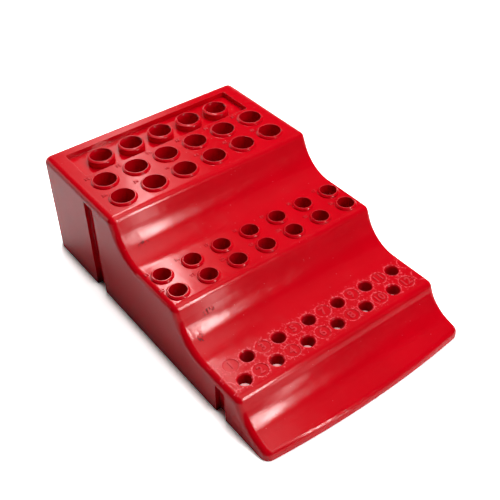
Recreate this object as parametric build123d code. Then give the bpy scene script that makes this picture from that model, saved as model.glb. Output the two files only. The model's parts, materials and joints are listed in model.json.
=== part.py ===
from build123d import *
import os
from collections import namedtuple
from math import acos, cos, degrees, radians, sin

# Stepped bench rack for microcentrifuge tubes: one thin-walled moulding, open underneath.
# Millimetres. X runs along the rows of seats, +Y to the back, +Z up.
# Origin: the middle of the footprint, on the bench.

# ---- body ----
width = 113.4                # across the foot
upper_tier_depth = 62.1      # back wall to the end of the upper tier's flat
middle_tier_depth = 48.0     # from there to the end of the middle tier's flat
lower_tier_depth = 43.8      # and on to the end of the lower tier's flat
apron_depth = 24.7           # and on to the middle of the lip
upper_height = 55.0
middle_height = 37.6
lower_height = 20.3
lip_height = 3.4             # sharp height of the lip at its middle
lip_bow = 3.2                # how far the lip's middle stands ahead of its ends
wall = 2.0
draft = 0.3                  # degrees, on every upright wall
corner_radius = 4.0          # upright corners
edge_radius = 3.0            # rounding where the walls meet the tiers and slopes

# ---- steps between the tiers ----
nose_radius = 3.6
cove_radius = 18.6
apron_cove_radius = 17.0
slope_angle = 67.0           # degrees from level, between nose and cove
apron_angle = 16.0           # degrees from level, where the apron runs out to the lip

# ---- seats: a bore for the tube's body, a collar above the tier, a sleeve below it ----
Seat = namedtuple("Seat", "bore wall rise sleeve mouth_chamfer")
large_seat = Seat(bore=11.1, wall=1.1, rise=1.1, sleeve=12.0, mouth_chamfer=0.0)     # 1.5 and 2 ml
medium_seat = Seat(bore=8.2, wall=1.1, rise=1.2, sleeve=10.0, mouth_chamfer=0.0)     # 0.5 ml
small_seat = Seat(bore=6.1, wall=1.0, rise=0.0, sleeve=8.0, mouth_chamfer=0.6)       # 0.2 ml
small_front_seat = small_seat._replace(sleeve=6.2)   # shorter, clear of the front slope
collar_chamfer = 0.7         # on the collar's outer edge
large_pitch = 17.0
medium_pitch = 16.07
small_pitch = 17.0
small_shift = 4.29           # each small row stands this far to one side of the middle

# how far each row stands behind the end of its tier's flat
first_row = 43.4
second_row = 24.7
third_row = 8.5
fourth_row = 18.0
fifth_row = 5.4
sixth_row = 14.5
seventh_row = 4.9

# ---- well that the first row stands in ----
well_depth = 2.7
well_rim = 9.2               # upper tier left at each end of the well
well_behind = 11.6           # well's back wall behind the row
well_ahead = 9.8             # well's front wall ahead of the row
well_corner = 1.0

# ---- sunk discs for the numbers between the small seats ----
disc_diameter = 7.2
disc_depth = 0.35

# ---- grooves in both side walls, up from the foot, where racks are linked side by side ----
groove_depth = 2.5           # at the foot
rear_groove_width = 8.1
rear_groove_setback = 44.4   # back wall to the middle of the groove
front_groove_width = 6.6
front_groove_setback = 34.0  # middle of the lip to the middle of the groove
groove_head = 0.6            # flat wall left between a groove and the edge rounding

spare = 5.0                  # how far a cutting solid runs past what it cuts
nothing = 0.01               # shorter or lower than this counts as none
head_up = (Align.CENTER, Align.CENTER, Align.MAX)

# ---- places that follow from the sizes ----
depth = upper_tier_depth + middle_tier_depth + lower_tier_depth + apron_depth
back = depth / 2
lip = -depth / 2
upper_end = back - upper_tier_depth
middle_end = upper_end - middle_tier_depth
lower_end = middle_end - lower_tier_depth
bow_radius = (width ** 2 / 4 + lip_bow ** 2) / (2 * lip_bow)


def step(start, landing, landing_angle, cove, inset):
    """Nose, straight and cove from the flat that ends at start to the line through landing.

    Both points lie on the outer face; inset is the distance in from it. Where the drop is
    too small for the full slope, the two arcs meet at a lower angle with no straight.
    """
    centre = Vector(*start) - Vector(0, nose_radius)
    tilt = radians(landing_angle)
    landing_normal = Vector(-sin(tilt), cos(tilt))
    fall = (Vector(*landing) - centre).dot(landing_normal)
    meeting = (fall + cove) / (nose_radius + cove)
    angle = min(slope_angle, landing_angle + degrees(acos(max(meeting, -1))))
    turn = radians(angle) - tilt
    straight = ((nose_radius + cove) * cos(turn) - fall - cove) / sin(turn)
    nose = JernArc(Vector(*start) - Vector(0, inset), (-1, 0), nose_radius - inset, angle)
    edges = [nose]
    if straight > nothing:
        edges.append(Line(nose @ 1, nose @ 1 + (nose % 1) * straight))
    last = edges[-1]
    edges.append(JernArc(last @ 1, last % 1, cove + inset, landing_angle - angle))
    return edges


def side_profile(inset):
    """The rack from the side, in from its outer face by inset, and run past both ends."""
    upper = step((upper_end, upper_height), (middle_end, middle_height), 0, cove_radius, inset)
    middle = step((middle_end, middle_height), (lower_end, lower_height), 0, cove_radius, inset)
    apron = step((lower_end, lower_height), (lip, lip_height), apron_angle, apron_cove_radius, inset)
    heel = (back + spare, 0)
    runout = (apron[-1] @ 1).Y / sin(radians(apron_angle))
    toe = apron[-1] @ 1 + (apron[-1] % 1) * runout
    return make_face([
        Polyline(heel, (back + spare, upper_height - inset), upper[0] @ 0),
        *upper,
        Line(upper[-1] @ 1, middle[0] @ 0),
        *middle,
        Line(middle[-1] @ 1, apron[0] @ 0),
        *apron,
        Polyline(apron[-1] @ 1, toe, heel),
    ])


def footprint(inset):
    """The rack's outline on the bench: straight back and sides, and a bowed front."""
    sides = Pos(0, back - inset - depth) * Rectangle(width - 2 * inset, 2 * depth)
    bow = Pos(0, lip + bow_radius) * Circle(bow_radius - inset)
    outline = sides & bow
    return fillet(outline.vertices(), corner_radius - inset)


def wall_top_edges(block):
    """The edges where the upright walls meet the tiers and slopes."""
    raised = [e for e in block.edges() if (e @ 0.5).Z > nothing and abs((e % 0.5).Z) < 1 - nothing]
    seams = ShapeList(raised).filter_by(Axis.X).sort_by(Axis.Y)[:-1]
    return [e for e in raised if e not in seams]


def body(inset, ease):
    """The rack's outer form, or the hollow under it when inset is the wall.

    Its upper rim is eased by ease, which is fillet or chamfer.
    """
    block = extrude(footprint(inset), upper_height + spare, taper=draft)
    block = block & extrude(Plane.YZ * side_profile(inset), width, both=True)
    return ease(wall_top_edges(block), edge_radius - inset)


def well_block(grow, top):
    """The well's block from its floor up to top, grown by grow at the sides and the floor."""
    across = width - 2 * well_rim + 2 * grow
    along = well_behind + well_ahead + 2 * grow
    middle = upper_end + first_row + (well_behind - well_ahead) / 2
    outline = fillet((Pos(0, middle) * Rectangle(across, along)).vertices(), well_corner + grow)
    floor = upper_height - well_depth - grow
    return Pos(0, 0, floor) * extrude(outline, top - floor)


def countersink(radius, depth):
    """A 45 degree cone with its middle on the surface, so wide at its foot and sunk by depth."""
    return Cone(radius, radius + 2 * depth, 2 * depth)


def seat_form(seat):
    """A seat's collar and sleeve as one solid post, its datum on the tier's surface."""
    radius = seat.bore / 2 + seat.wall
    top = seat.rise or -wall / 2
    post = Pos(0, 0, top) * Cylinder(radius, top + seat.sleeve, align=head_up)
    if seat.rise:
        post = chamfer(post.edges().sort_by(Axis.Z)[-1], collar_chamfer)
    return post


def bore_form(seat):
    """What the bore takes out of a seat: the through hole and any chamfer at its mouth."""
    radius = seat.bore / 2
    bore = Pos(0, 0, spare) * Cylinder(radius, seat.sleeve + 2 * spare, align=head_up)
    if seat.mouth_chamfer:
        bore += Pos(0, 0, seat.rise) * countersink(radius, seat.mouth_chamfer)
    return bore


def across_row(pitch, seat_width, shift=0.0, fewer=0):
    """X of each seat in a row: as many as the width takes, less fewer."""
    room = width - 2 * edge_radius - seat_width - 2 * abs(shift)
    count = int(room / pitch) + 1 - fewer
    return [shift + (i - (count - 1) / 2) * pitch for i in range(count)]


def seat_rows():
    """Each row of seats, as its seat and the places of its seats on the tier."""
    large_width = large_seat.bore + 2 * large_seat.wall
    medium_width = medium_seat.bore + 2 * medium_seat.wall
    large_places = across_row(large_pitch, large_width)
    between_places = across_row(large_pitch, large_width, fewer=1)
    medium_places = across_row(medium_pitch, medium_width)
    right_places = across_row(small_pitch, disc_diameter, shift=small_shift)
    left_places = across_row(small_pitch, disc_diameter, shift=-small_shift)
    rows = [
        (large_seat, between_places, upper_end + first_row, upper_height),
        (large_seat, large_places, upper_end + second_row, upper_height),
        (large_seat, large_places, upper_end + third_row, upper_height),
        (medium_seat, medium_places, middle_end + fourth_row, middle_height),
        (medium_seat, medium_places, middle_end + fifth_row, middle_height),
        (small_seat, right_places, lower_end + sixth_row, lower_height),
        (small_front_seat, left_places, lower_end + seventh_row, lower_height),
    ]
    return [(seat, [Pos(x, y, z) for x in places]) for seat, places, y, z in rows]


def number_discs():
    """Shallow discs half a pitch left of the sixth row's seats and right of the seventh's."""
    disc = countersink(disc_diameter / 2 - disc_depth, disc_depth)
    discs = []
    for side, setback in ((-1, sixth_row), (1, seventh_row)):
        for x in across_row(small_pitch, disc_diameter, shift=-side * small_shift):
            place = Pos(x + side * small_pitch / 2, lower_end + setback, lower_height)
            discs.append(place * disc)
    return discs


def side_grooves(grow):
    """The grooves' blocks in both side walls, grown by grow at their sides, backs and heads."""
    blocks = []
    reach = spare + groove_depth + grow
    for groove_width, y, tier_height in (
        (rear_groove_width, back - rear_groove_setback, upper_height),
        (front_groove_width, lip + front_groove_setback, lower_height),
    ):
        head = tier_height - edge_radius - groove_head + grow
        block = Box(reach, groove_width + 2 * grow, head + spare, align=head_up)
        for side in (-1, 1):
            x = side * (width / 2 + spare - reach / 2)
            blocks.append(Pos(x, y, head) * block)
    return blocks


def rack():
    hollow = body(wall, chamfer) - well_block(wall, upper_height) - side_grooves(wall)
    shell = body(0, fillet) - hollow - well_block(0, upper_height + spare)
    rows = seat_rows()
    posts = [place * seat_form(seat) for seat, places in rows for place in places]
    bores = [place * bore_form(seat) for seat, places in rows for place in places]
    return (shell + posts) - bores - number_discs() - side_grooves(0)


os.makedirs("parts", exist_ok=True)
whole = rack()
whole.label = "rack"
export_step(whole, "parts/rack.step")
height = upper_height + large_seat.rise
print(f"rack {width} x {depth:.1f} x {height:.1f} mm, {whole.volume / 1000:.1f} cm3")
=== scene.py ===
import json
from math import cos, pi, radians, sin, tan

import bpy
from mathutils import Matrix, Quaternion, Vector


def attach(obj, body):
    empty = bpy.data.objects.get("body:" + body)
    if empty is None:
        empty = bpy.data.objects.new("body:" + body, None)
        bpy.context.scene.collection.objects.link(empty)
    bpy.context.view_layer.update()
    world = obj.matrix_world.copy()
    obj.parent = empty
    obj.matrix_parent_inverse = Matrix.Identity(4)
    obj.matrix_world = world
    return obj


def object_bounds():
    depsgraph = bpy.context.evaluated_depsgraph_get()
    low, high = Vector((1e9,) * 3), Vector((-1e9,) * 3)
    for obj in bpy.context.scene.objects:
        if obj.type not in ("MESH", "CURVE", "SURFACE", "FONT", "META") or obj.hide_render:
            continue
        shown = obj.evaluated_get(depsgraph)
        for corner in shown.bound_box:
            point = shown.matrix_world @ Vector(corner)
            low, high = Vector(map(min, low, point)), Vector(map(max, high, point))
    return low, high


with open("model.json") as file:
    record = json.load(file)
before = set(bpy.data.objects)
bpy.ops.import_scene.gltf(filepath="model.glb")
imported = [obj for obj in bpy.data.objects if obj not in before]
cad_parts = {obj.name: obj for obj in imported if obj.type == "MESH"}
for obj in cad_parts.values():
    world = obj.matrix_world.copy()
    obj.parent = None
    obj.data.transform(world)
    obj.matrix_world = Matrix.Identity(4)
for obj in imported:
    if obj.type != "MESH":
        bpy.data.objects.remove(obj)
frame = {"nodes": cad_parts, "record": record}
cad_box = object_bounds()

# The stepped tube rack: one red moulding on a white bench, with raised numbers beside its seats.
# Metres, in the rack's own frame: X along the rows, +Y to the high back, +Z up from the bench.
# The finish of the plastic is worked out in millimetres in the same frame.

MM = 0.001


# ---------------------------------------------------------------- the rack's own places

def seat_rows():
    """The rack's seats by row, from the back; each seat is the middle of its mouth."""
    rows = {}
    for mount in frame["record"]["mounts"]:
        if mount["kind"] != "bore":
            continue
        row = int(mount["name"].split("_")[1])
        half_length = mount["dims"]["length_mm"] * MM / 2
        mouth = Vector(mount["pos_m"]) + Vector((0, 0, half_length))
        rows.setdefault(row, []).append(mouth)
    return rows


rows = seat_rows()
large_rise = 1.1 * MM        # how far a collar's wall stands above its tier
medium_rise = 1.2 * MM
small_rise = -0.6 * MM       # a small seat's wall starts below its tier, under a chamfer
upper_top = rows[2][0].z - large_rise
middle_top = rows[4][0].z - medium_rise
lower_top = rows[6][0].z - small_rise
disc_depth = 0.35 * MM


# ---------------------------------------------------------------- shader arithmetic

class Field:
    """A shader socket that arithmetic works on: each operation adds the Math node it needs."""

    def __init__(self, finish, socket):
        self.finish = finish
        self.socket = socket

    def maths(self, operation, *values, clamp=False):
        settings = {"operation": operation, "use_clamp": clamp}
        return self.finish.node("ShaderNodeMath", settings, dict(enumerate(values)))["Value"]

    def __add__(self, other):
        return self.maths("ADD", self, other)

    def __radd__(self, other):
        return self.maths("ADD", other, self)

    def __sub__(self, other):
        return self.maths("SUBTRACT", self, other)

    def __rsub__(self, other):
        return self.maths("SUBTRACT", other, self)

    def __mul__(self, other):
        return self.maths("MULTIPLY", self, other)

    def __rmul__(self, other):
        return self.maths("MULTIPLY", other, self)

    def __truediv__(self, other):
        return self.maths("DIVIDE", self, other)

    def __pow__(self, other):
        return self.maths("POWER", self, other)

    def __abs__(self):
        return self.maths("ABSOLUTE", self)

    def clamped(self):
        return self.maths("ADD", self, 0.0, clamp=True)

    def at_least(self, other):
        return self.maths("MAXIMUM", self, other)

    def wrapped(self, low, high):
        """The value brought between low and high by whole steps of their distance."""
        return self.maths("WRAP", self, high, low)

    def rise(self, start, end):
        """0 up to start, 1 from end, smooth between; falls instead where end is below start."""
        low, high = min(start, end), max(start, end)
        settings = {"interpolation_type": "SMOOTHSTEP"}
        values = {"Value": self, "From Min": low, "From Max": high}
        made = self.finish.node("ShaderNodeMapRange", settings, values)["Result"]
        return made if end > start else 1 - made


class Made:
    """A node that has been made; its outputs are read by name as fields."""

    def __init__(self, finish, node):
        self.finish = finish
        self.node = node

    def __getitem__(self, name):
        return Field(self.finish, socket_of(self.node.outputs, name))


def socket_of(sockets, key):
    """A socket by its number, its identifier or its name."""
    if isinstance(key, int):
        return sockets[key]
    for socket in sockets:
        if socket.identifier == key:
            return socket
    return next(s for s in sockets if s.name == key and s.enabled)


class Finish:
    """The nodes that make one material, or the world round the bench."""

    def __init__(self, name, kind=bpy.data.materials):
        self.made = kind.new(name)
        self.made.use_nodes = True
        self.tree = self.made.node_tree
        self.tree.nodes.clear()

    def node(self, kind, settings=None, values=None):
        """Adds a node: its settings first, then the value or the link of each input."""
        node = self.tree.nodes.new(kind)
        for name, value in (settings or {}).items():
            setattr(node, name, value)
        for key, value in (values or {}).items():
            socket = socket_of(node.inputs, key)
            if isinstance(value, Field):
                self.tree.links.new(value.socket, socket)
            else:
                socket.default_value = value
        return Made(self, node)

    def blend(self, factor, low, high):
        """The colour low where factor is 0 and high where it is 1."""
        values = {"Factor_Float": factor, "A_Color": low, "B_Color": high}
        return self.node("ShaderNodeMix", {"data_type": "RGBA"}, values)["Result_Color"]

    def stretched(self, place, scale, turn=0.0):
        """The place turned about Z and scaled along each axis."""
        values = {"Vector": place, "Rotation": (0, 0, radians(turn)), "Scale": scale}
        return self.node("ShaderNodeMapping", {"vector_type": "POINT"}, values)["Vector"]

    def noise(self, place, scale, detail=2.0, roughness=0.5):
        """Soft mottling from 0 to 1, with scale in patches per unit of place."""
        values = {"Vector": place, "Scale": scale, "Detail": detail, "Roughness": roughness}
        return self.node("ShaderNodeTexNoise", {"noise_dimensions": "3D"}, values)["Fac"]

    def grains(self, place, scale, share):
        """Round grains in a share of the cells: 1 at a grain's middle, 0 outside it."""
        settings = {"voronoi_dimensions": "3D", "feature": "F1"}
        cells = self.node("ShaderNodeTexVoronoi", settings, {"Vector": place, "Scale": scale})
        pick = self.node("ShaderNodeSeparateColor", {}, {"Color": cells["Color"]})["Red"]
        return cells["Distance"].rise(0.34, 0.12) * pick.rise(share + 0.02, share)

    def vector_maths(self, operation, values):
        """A Vector Math node, which works on places part by part or gives one value for them."""
        return self.node("ShaderNodeVectorMath", {"operation": operation}, values)

    def axes(self, vector):
        """The X, Y and Z of a vector."""
        return self.node("ShaderNodeSeparateXYZ", {}, {"Vector": vector})

    def openness(self, distance, samples):
        """1 in the open, less in tight places, with nothing counted beyond the distance."""
        values = {"Distance": distance}
        return self.node("ShaderNodeAmbientOcclusion", {"samples": samples}, values)["AO"]

    def principled(self, **values):
        """The Principled surface; names are the shader's own sockets."""
        names = {key.replace("_", " "): value for key, value in values.items()}
        return self.node("ShaderNodeBsdfPrincipled", {"distribution": "MULTI_GGX"}, names)["BSDF"]

    def matt(self, grey):
        """A dull surface of one grey."""
        return self.node("ShaderNodeBsdfDiffuse", {}, {"Color": (grey, grey, grey, 1)})["BSDF"]

    def glowing(self, colour):
        """A surface that shows its colour as it is, whatever light falls on it."""
        return self.node("ShaderNodeEmission", {}, {"Color": colour, "Strength": 1.0})["Emission"]

    def either(self, factor, low, high):
        """The surface low where factor is 0 and high where it is 1."""
        return self.node("ShaderNodeMixShader", {}, {"Fac": factor, 1: low, 2: high})["Shader"]

    def finished(self, surface):
        """The material with this surface."""
        self.node("ShaderNodeOutputMaterial", {}, {"Surface": surface})
        return self.made


# ---------------------------------------------------------------- moulded red plastic

RED = (0.72, 0.0, 0.0085, 1)
DEEP_RED = (0.675, 0.0, 0.0075, 1)
# dark red of scuffs, and of the painted shade in tight places
SCUFF_AND_SHADE_RED = (0.05, 0.0, 0.001, 1)
# pale red of corners worn pale, also a painted highlight on open edges
RUBBED_AND_HIGHLIGHT_RED = (1.0, 0.20, 0.20, 1)
DUST = (0.86, 0.42, 0.44, 1)
# pale red of whitened rays, also a painted highlight on rims, rays and numbers
RAY_AND_HIGHLIGHT_RED = (1.0, 0.13, 0.17, 1)
GLOSS_TINT = (1.0, 0.78, 0.76, 1)

bores_reach = 52.6           # how far out the bores come; the side grooves lie beyond
rim_width = 4.1              # from the mould's split to the side of the foot
lip_depth = 2.4              # how far down the rolled lip of a first-row collar reaches
disc_rim = 3.75              # radius of the raised rims round the discs and small seats
ray_count = 4.8              # how closely the rays stand round a seat; more gives finer rays

# Scuffs on the slopes: middle, length, width and turn, in millimetres and degrees.
scuff_marks = (
    ((-45.3, 16.6, 41.6), 3.6, 1.6, 8),
    ((-40.7, -26.5, 30.1), 4.2, 1.7, 12),
    ((-48.9, -32.3, 23.6), 2.4, 2.0, -40),
)


def red_moulding(name, edge_softness, wear, pale_edge_from, paleness=0.0):
    """Glossy red polypropylene with the marks of its mould, fine scratches and a little dust, with
    painted shade in tight places and painted highlights on open edges, rims, rays and numbers.
    wear is how much dust and how many scuffs it carries, pale_edge_from how open a corner has to
    be before it is worn pale and painted with a highlight, and paleness the least share of the
    pale red, which on the numbers is a painted highlight."""
    finish = Finish(name)
    metres = finish.node("ShaderNodeTexCoord")["Object"]
    place = finish.vector_maths("SCALE", {0: metres, "Scale": 1 / MM})["Vector"]
    flat = finish.node("ShaderNodeNewGeometry")["Normal"]
    edge = finish.node("ShaderNodeBevel", {"samples": 6}, {"Radius": edge_softness})["Normal"]
    open_air = finish.openness(12 * MM, 6)

    # From the mould: uneven red, orange peel, grain, long ripples, flow round the small seats, whose
    # rims and rays are painted pale further down, partly as a painted highlight.
    tone = finish.noise(place, 0.045, 3.0)
    peel = finish.noise(place, 0.26, 2.0)
    grain = finish.noise(place, 1.1, 2.0)
    ripple = finish.noise(finish.stretched(place, (0.10, 0.022, 0.06)), 1.0, 2.0)
    halo, rays = seat_flow(finish, place)
    step = rim_step(finish, place)
    lip = rolled_lip(finish, place)

    # From use: smudges, crossing scratches, dust on what faces up, scuffs, corners worn pale; the pale
    # open corners are also a painted highlight along the edges.
    smudge = finish.noise(place, 0.11, 4.0, 0.62).rise(0.52, 0.74)
    fine_lines = scratches(finish, place, turn=24, spacing=1.9, length=0.035, share=0.78)
    cross_lines = scratches(finish, place, turn=-51, spacing=1.5, length=0.045, share=0.81)
    lines = fine_lines.at_least(cross_lines)
    upward = finish.axes(flat)["Z"].rise(0.1, 0.5)
    specks = finish.grains(place, 1.2, 0.00015) * upward * wear
    scuffs = scuffed(finish, place) * wear
    lean = finish.vector_maths("DOT_PRODUCT", {0: edge, 1: flat})["Value"]
    # Painted highlight: open convex edges are painted pale, partly worn pale and partly the light that
    # edges catch.
    corner = (1 - lean).rise(0.02, 0.20) * open_air.rise(pale_edge_from, pale_edge_from + 0.25)
    rubbed_and_highlight = corner * finish.noise(place, 0.7, 3.0).rise(0.2, 0.6) * (1 - lip)

    # Painted shade: tight places are painted a darker red, standing in for the little light that reaches
    # them: a little in the bores, much more in the side grooves.
    in_groove = abs(finish.axes(place)["X"]).rise(bores_reach, bores_reach + 0.8)
    shade = open_air.rise(0.50, 0.13) * (1 - lip) * (0.20 + in_groove * 0.76)

    colour = finish.blend(tone.rise(0.3, 0.7), RED, DEEP_RED)
    colour = finish.blend(rubbed_and_highlight * 0.6, colour, RUBBED_AND_HIGHLIGHT_RED)
    # Painted highlight: rims round discs and small seats are painted pale as the light they catch; the
    # rays are painted pale as whitened strokes and as their glints; paleness paints the raised numbers
    # pale, a painted highlight.
    colour = finish.blend((rays * 0.78).at_least(paleness), colour, RAY_AND_HIGHLIGHT_RED)
    colour = finish.blend(specks * 0.25, colour, DUST)
    # Scuffs and the painted shade of tight places are both drawn in this dark red.
    colour = finish.blend((scuffs * 0.85).at_least(shade), colour, SCUFF_AND_SHADE_RED)
    roughness = 0.09 + smudge * 0.05 + peel * 0.02 + lines * 0.08 + specks * 0.3 + rubbed_and_highlight * 0.08
    roughness = roughness + scuffs * 0.25 + halo * 0.03
    height = peel * 0.023 + grain * 0.003 + ripple * 0.016 - lines * 0.001 + specks * 0.006
    height = height - scuffs * 0.03 + rays * 0.015 + step * 0.005 - lip ** 2 * 1.2
    relief = {"Strength": 1.0, "Distance": MM, "Height": height, "Normal": edge}
    bumped = finish.node("ShaderNodeBump", {}, relief)["Normal"]
    return finish.finished(finish.principled(Base_Color=colour, Roughness=roughness, Normal=bumped,
                                             IOR=1.5, Specular_Tint=GLOSS_TINT))


def scuffed(finish, place):
    """Short dark strokes where the slopes have been knocked: 1 in a stroke, 0 beside it."""
    along = finish.stretched(place, (1.5, 0.55, 0.55), 20)
    strokes = finish.noise(along, 1.0, 3.0, 0.6).rise(0.50, 0.57)
    marked = None
    for middle, length, width, turn in scuff_marks:
        away = finish.vector_maths("SUBTRACT", {0: place, 1: middle})["Vector"]
        turned = finish.stretched(away, (1, 1, 1), -turn)
        spread = finish.vector_maths("DIVIDE", {0: turned, 1: (length, width, width)})["Vector"]
        near = finish.vector_maths("LENGTH", {0: spread})["Value"].rise(1.0, 0.6)
        marked = near if marked is None else marked.at_least(near)
    return strokes * marked


def rim_step(finish, place):
    """The mould's split a little way in from both side edges: 1 outside it, 0 inside it."""
    split = cad_box[1][0] / MM - rim_width
    return abs(finish.axes(place)["X"]).rise(split - 0.25, split + 0.25)


def rolled_lip(finish, place):
    """How far up the rolled lip of a first-row collar a place lies: 0 below it, 1 at its top."""
    middle = rows[1][0] / MM
    axes = finish.axes(place)
    in_row = abs(axes["Y"] - middle.y).rise(7.8, 7.2) * abs(axes["X"]).rise(44.0, 42.5)
    return ((axes["Z"] - middle.z + lip_depth) / lip_depth).clamped() * in_row


def seat_flow(finish, place):
    """The duller rings about the small seats and discs, and the rims and fine rays in them; the rims and
    rays get a pale red, partly a painted highlight.
    """
    half_pitch = (rows[6][1].x - rows[6][0].x) / 2 / MM
    axes = finish.axes(place)
    level = (axes["Z"] - lower_top / MM + 0.6).rise(0.0, 0.3)
    rings, rays = [], []
    for row in (6, 7):
        middle = rows[row][0] / MM
        across = axes["Y"] - middle.y
        from_first = axes["X"] - middle.x
        along = from_first.wrapped(-half_pitch / 2, half_pitch / 2)
        reach = (along ** 2 + across ** 2) ** 0.5
        own = (from_first - along) * 0.7 + reach * 0.3
        towards = {"X": along / reach * ray_count, "Y": across / reach * ray_count, "Z": own}
        fan = finish.node("ShaderNodeCombineXYZ", {}, towards)["Vector"]
        ring = reach.rise(6.4, 3.9)
        rings.append(ring)
        rims = abs(reach - disc_rim).rise(0.42, 0.08)
        fanned = finish.noise(fan, 1.0, 2.0, 0.6).rise(0.52, 0.62) * ring * reach.rise(3.4, 3.6)
        rays.append(fanned.at_least(rims))
    broken = finish.noise(place, 0.8, 4.0, 0.7).rise(0.42, 0.60)
    return rings[0].at_least(rings[1]) * level, rays[0].at_least(rays[1]) * broken * level


def scratches(finish, place, turn, spacing, length, share):
    """Short fine scratches that run one way: 1 along a scratch, 0 beside it."""
    lie = finish.stretched(place, (spacing, length, 1.0), turn)
    settings = {"voronoi_dimensions": "3D", "feature": "F1"}
    cells = finish.node("ShaderNodeTexVoronoi", settings, {"Vector": lie, "Scale": 1.0})
    across = finish.axes(cells["Position"])["X"]
    own = finish.axes(lie)["X"]
    pick = finish.node("ShaderNodeSeparateColor", {}, {"Color": cells["Color"]})["Green"]
    return abs(own - across).rise(0.07, 0.02) * pick.rise(share, share + 0.02)


# ---------------------------------------------------------------- raised numbers

number_round = 0.12 * MM         # rounding of a number's edges
seat_number_height = 0.28 * MM
disc_number_height = 0.34 * MM
disc_number_size = 5.6 * MM


def number_mesh(labels, size, height):
    """One mesh of raised numbers; labels holds each number and the middle of its foot."""
    parts = []
    for text, place in labels:
        curve = bpy.data.curves.new("number", "FONT")
        curve.body = text
        curve.size = size
        curve.align_x = "CENTER"
        curve.align_y = "CENTER"
        curve.resolution_u = 3
        curve.extrude = height - number_round
        curve.bevel_depth = number_round
        curve.bevel_resolution = 1
        carrier = bpy.data.objects.new("number", curve)
        bpy.context.scene.collection.objects.link(carrier)
        carrier.location = place
        bpy.context.view_layer.update()
        made = carrier.evaluated_get(bpy.context.evaluated_depsgraph_get())
        mesh = bpy.data.meshes.new_from_object(made)
        mesh.transform(carrier.matrix_world)
        parts.append(mesh)
        bpy.data.objects.remove(carrier)
    return joined(parts)


def joined(meshes):
    """One mesh from several."""
    points, faces = [], []
    for mesh in meshes:
        start = len(points)
        points.extend(v.co.copy() for v in mesh.vertices)
        faces.extend([start + i for i in p.vertices] for p in mesh.polygons)
        bpy.data.meshes.remove(mesh)
    whole = bpy.data.meshes.new("numbers")
    whole.from_pydata(points, [], faces)
    whole.update()
    return whole


def moulded_on(name, mesh, material):
    """A piece of the moulding that scene.py adds to the rack."""
    piece = bpy.data.objects.new(name, mesh)
    bpy.context.scene.collection.objects.link(piece)
    mesh.materials.append(material)
    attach(piece, "root")


def seat_numbers(material):
    """Small running numbers behind the left shoulder of each large and medium seat."""
    # First and last row, first number, where it stands from its seat, its tier and its size.
    groups = (
        (2, 3, 32, (-6.0, 6.6), upper_top, 2.6),
        (4, 5, 13, (-5.2, 4.7), middle_top, 2.4),
    )
    for first_row, last_row, number, (aside, behind), top, size in groups:
        for row in range(first_row, last_row + 1):
            labels = []
            for mouth in rows[row]:
                foot = Vector((mouth.x + aside * MM, mouth.y + behind * MM, top))
                labels.append((str(number), foot))
                number += 1
            mesh = number_mesh(labels, size * MM, seat_number_height)
            moulded_on(f"numbers_row_{row}", mesh, material)


def disc_numbers(material):
    """The numbers in the sunk discs between the small seats, odd behind and even in front."""
    half_pitch = (rows[6][1].x - rows[6][0].x) / 2
    for row, side, number in ((6, -1, 1), (7, 1, 2)):
        labels = []
        for mouth in rows[row]:
            foot = Vector((mouth.x + side * half_pitch, mouth.y, lower_top - disc_depth))
            labels.append((str(number), foot))
            number += 2
        mesh = number_mesh(labels, disc_number_size, disc_number_height)
        moulded_on(f"disc_numbers_row_{row}", mesh, material)


# ---------------------------------------------------------------- bench, lights and camera

BENCH_WHITE = (0.85, 0.84, 0.83, 1)
RED_SHADOW = (0.80, 0.34, 0.34, 1)      # the bench under the rack, in the red light there
light_aim = Vector((-0.03, 0.0, 0.03))  # the place on the rack that the softboxes face
layer_gap = 4 * MM                      # between the ellipses that make up a softbox


def bench():
    """A wide plain white bench. To the camera it is white up to the rack's own soft shadow, partly cast
    and partly painted.
    """
    finish = Finish("white_bench")
    ray = finish.node("ShaderNodeLightPath")
    # Painted shadow: what the camera sees glows white, painted black in tight places beside the rack and
    # painted a red-lit pink beneath it; the bright matt layer adds the cast shadow.
    beside = finish.openness(7 * MM, 16).rise(0.42, 0.95)
    beneath = finish.openness(100 * MM, 16).rise(0.10, 0.42)
    white = finish.blend(beneath, RED_SHADOW, BENCH_WHITE)
    white = finish.blend(beside, (0, 0, 0, 1), white)
    shown = {0: finish.glowing(white), 1: finish.matt(1.6)}
    to_camera = finish.node("ShaderNodeAddShader", {}, shown)["Shader"]
    to_rack = finish.either(ray["Is Glossy Ray"], finish.matt(0.85), finish.matt(0.92))
    material = finish.finished(finish.either(ray["Is Camera Ray"], to_rack, to_camera))
    staged("bench", [(-2.5, -2.5, 0), (2.5, -2.5, 0), (2.5, 2.5, 0), (-2.5, 2.5, 0)], material)


def cards():
    """A white backdrop behind the rack and a black card in front of it, for its gloss to show."""
    white = Finish("white_backdrop")
    corners = [(-1.6, 1.3, 0), (1.6, 1.3, 0), (1.6, 1.3, 0.75), (-1.6, 1.3, 0.75)]
    backdrop = staged("backdrop", corners, white.finished(white.glowing((1, 1, 1, 1))))
    backdrop.visible_diffuse = False
    black = Finish("black_card")
    corners = [(0.04, -0.15, 0.001), (0.7, -0.15, 0.001), (0.9, -0.9, 0.001), (0.28, -0.9, 0.001)]
    card = staged("black_card", corners, black.finished(black.matt(0.01)))
    card.visible_diffuse = False
    card.visible_camera = False
    card.visible_shadow = False


def staged(name, corners, material):
    """A flat four-cornered piece of the studio, which is no part of the rack."""
    mesh = bpy.data.meshes.new(name)
    mesh.from_pydata(corners, [], [(0, 1, 2, 3)])
    mesh.materials.append(material)
    piece = bpy.data.objects.new(name, mesh)
    bpy.context.scene.collection.objects.link(piece)
    return piece


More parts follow.
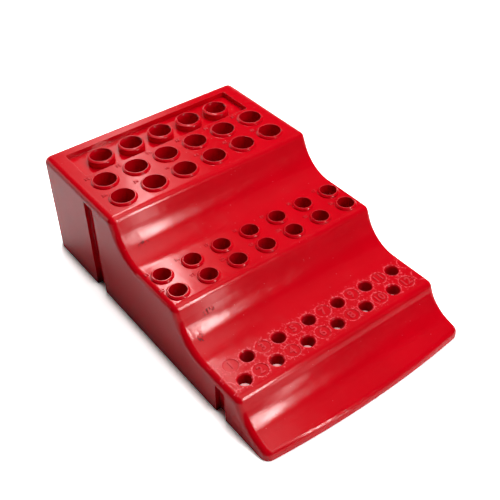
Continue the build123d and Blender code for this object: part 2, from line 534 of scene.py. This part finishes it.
def softbox(name, aside, fore, brightness, turn=0.0, steps=5, distance=1.5):
    """A soft light, brightest in its middle and fading to its rim: ellipses laid one on another.
    aside and fore are the angles, in degrees, between which it is seen from the rack: from
    straight overhead towards +X, and towards the back. brightness is that of its middle, where
    1 is plain white."""
    a, f = radians(sum(aside) / 2), radians(sum(fore) / 2)
    out = Vector((sin(a), cos(a) * sin(f), cos(a) * cos(f)))
    across = Vector((cos(a), -sin(a) * sin(f), -sin(a) * cos(f)))
    facing = Matrix((across, out.cross(across), out)).transposed().to_4x4()
    layers = []
    for step in range(1, steps + 1):
        reach = distance + layer_gap * step
        lamp = bpy.data.lights.new(f"{name}_{step}", "AREA")
        lamp.shape = "ELLIPSE"
        lamp.size = 2 * reach * tan(radians(aside[1] - aside[0]) / 2) * step / steps
        lamp.size_y = 2 * reach * tan(radians(fore[1] - fore[0]) / 2) * step / steps
        lamp.energy = brightness / steps * pi * (pi / 4 * lamp.size * lamp.size_y)
        light = bpy.data.objects.new(lamp.name, lamp)
        place = Matrix.Translation(light_aim + out * reach)
        light.matrix_world = place @ facing @ Matrix.Rotation(radians(turn), 4, "Z")
        light.visible_camera = False
        bpy.context.scene.collection.objects.link(light)
        layers.append(light)
    return layers


def lights():
    """Two bright streaks on the slopes and tiers with their soft surrounds, and plain fill."""
    softbox("front_softbox", (19.8, 22.4), (-74, -35), 62, turn=-1.5, steps=9)
    softbox("front_glow", (16.8, 24.6), (-97, -24), 1.0)
    softbox("low_strip", (18.9, 23.1), (-106, -70), 6.6, distance=0.5)
    softbox("back_softbox", (18.0, 20.6), (20, 54), 22, turn=-10, steps=8)
    softbox("back_glow", (15.6, 26.6), (38, 76), 1.8)
    softbox("top_panel", (7, 24), (-66, 46), 2.0)
    fills = softbox("fill", (-8, 48), (-28, 62), 3.3, steps=2, distance=0.65)
    fills += softbox("low_fill", (-4, 50), (-96, -56), 1.7, steps=2)
    for light in fills:
        light.visible_glossy = False


def room():
    """The world: white to the camera, and next to dark to the rack and its gloss."""
    finish = Finish("room", bpy.data.worlds)
    to_camera = finish.node("ShaderNodeLightPath")["Is Camera Ray"]
    glow = {"Color": (1, 1, 1, 1), "Strength": 0.01 + to_camera * 0.99}
    around = finish.node("ShaderNodeBackground", {}, glow)["Background"]
    finish.node("ShaderNodeOutputWorld", {}, {"Surface": around})
    bpy.context.scene.world = finish.made


def camera():
    """Looks down on the rack's front left corner."""
    azimuth, elevation, roll = radians(36.503), radians(41.165), radians(-1.52)
    aim, distance = Vector((-0.00268, -0.00617, 0.030)), 0.38437
    back = Vector((-sin(azimuth) * cos(elevation), -cos(azimuth) * cos(elevation), sin(elevation)))
    lens = bpy.data.cameras.new("camera")
    lens.lens = 59.54
    lens.sensor_width = 36
    lens.clip_start = 0.01
    lens.clip_end = 20
    eye = bpy.data.objects.new("camera", lens)
    eye.rotation_mode = "QUATERNION"
    eye.location = aim + back * distance
    eye.rotation_quaternion = (-back).to_track_quat("-Z", "Y") @ Quaternion((0, 0, 1), roll)
    bpy.context.scene.collection.objects.link(eye)
    bpy.context.scene.camera = eye


# ---------------------------------------------------------------- the scene

camera()
lights()
room()
bench()
cards()
body_plastic = red_moulding("red_plastic_body", edge_softness=0.28 * MM, wear=1.0, pale_edge_from=0.55)
# The numbers carry some pale red everywhere, a painted highlight on their raised faces.
number_plastic = red_moulding("red_plastic_numbers", edge_softness=0.16 * MM, wear=0.5, pale_edge_from=0.20,
                              paleness=0.10)
disc_number_plastic = red_moulding("red_plastic_disc_numbers", edge_softness=0.16 * MM, wear=0.5,
                                   pale_edge_from=0.20, paleness=0.24)
rack = frame["nodes"]["rack"]
for slot in rack.material_slots:
    slot.material = body_plastic
seat_numbers(number_plastic)
disc_numbers(disc_number_plastic)

bpy.context.scene.view_settings.view_transform = "Standard"
